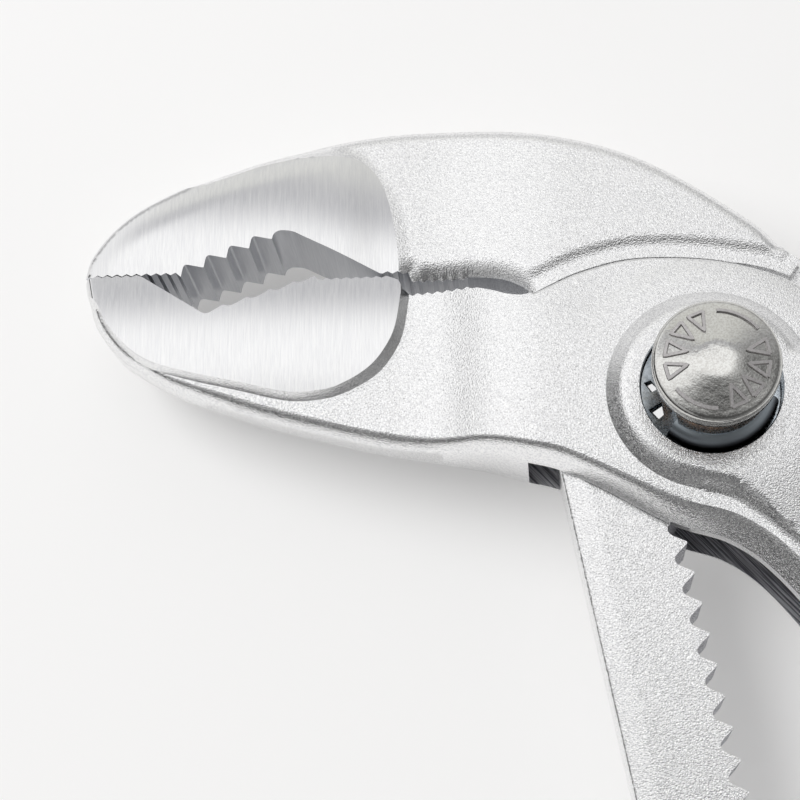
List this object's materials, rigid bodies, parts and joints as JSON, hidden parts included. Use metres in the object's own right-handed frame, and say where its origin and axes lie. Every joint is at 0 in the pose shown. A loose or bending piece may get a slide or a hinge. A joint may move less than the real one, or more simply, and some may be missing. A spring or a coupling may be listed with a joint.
{
  "type": "water pump pliers",
  "caption": "Box-joint water pump pliers with curved toothed jaws, a rack-adjusted slotted arm, a sprung push-button lock and sleeved handles, lying flat.",
  "frame": {"origin": "pivot axis at the back of the pivot boss, where the tool rests", "axes": "+Z along the pivot axis towards the push button, +X along the closed jaws from the tip towards the pivot, +Y from the lower jaw towards the upper jaw"},
  "size_m": [0.1658, 0.2154, 0.024],
  "materials": {
    "satin_steel": "satin chrome over a fine forged grain, jaw pads ground bright",
    "zinc": "bluish zinc plate",
    "bright_chrome": "polished chrome",
    "spring_wire": "copper-washed spring wire",
    "dark_steel": "oiled spring steel",
    "grip": "fine-grained soft plastic"
  },
  "bodies": {
    "outer_lever": {"lower_jaw_lever": "satin_steel", "lower_lever_grip": "grip"},
    "hinge": {"hinge_bolt": "zinc", "retaining_ring": "dark_steel", "return_spring": "spring_wire"},
    "inner_lever": {"upper_jaw_lever": "satin_steel", "upper_lever_grip": "grip"},
    "button": {"toothed_lock": "zinc", "push_button": "bright_chrome"}
  },
  "joints": [
    {"name": "jaw_pivot", "type": "hinge", "parent": "outer_lever", "child": "hinge", "pos_m": [0, 0, 0], "axis": [0, 0, -1], "range_deg": [0, 20]},
    {"name": "rack_adjust", "type": "slide", "parent": "hinge", "child": "inner_lever", "axis": [-0.1874, 0.9823, 0], "range_m": [0, 0.0372]},
    {"name": "button_press", "type": "slide", "parent": "hinge", "child": "button", "axis": [0, 0, -1], "range_m": [0, 0.0032], "stiffness_N_per_m": 1200, "deforming": ["return_spring"]}
  ]
}
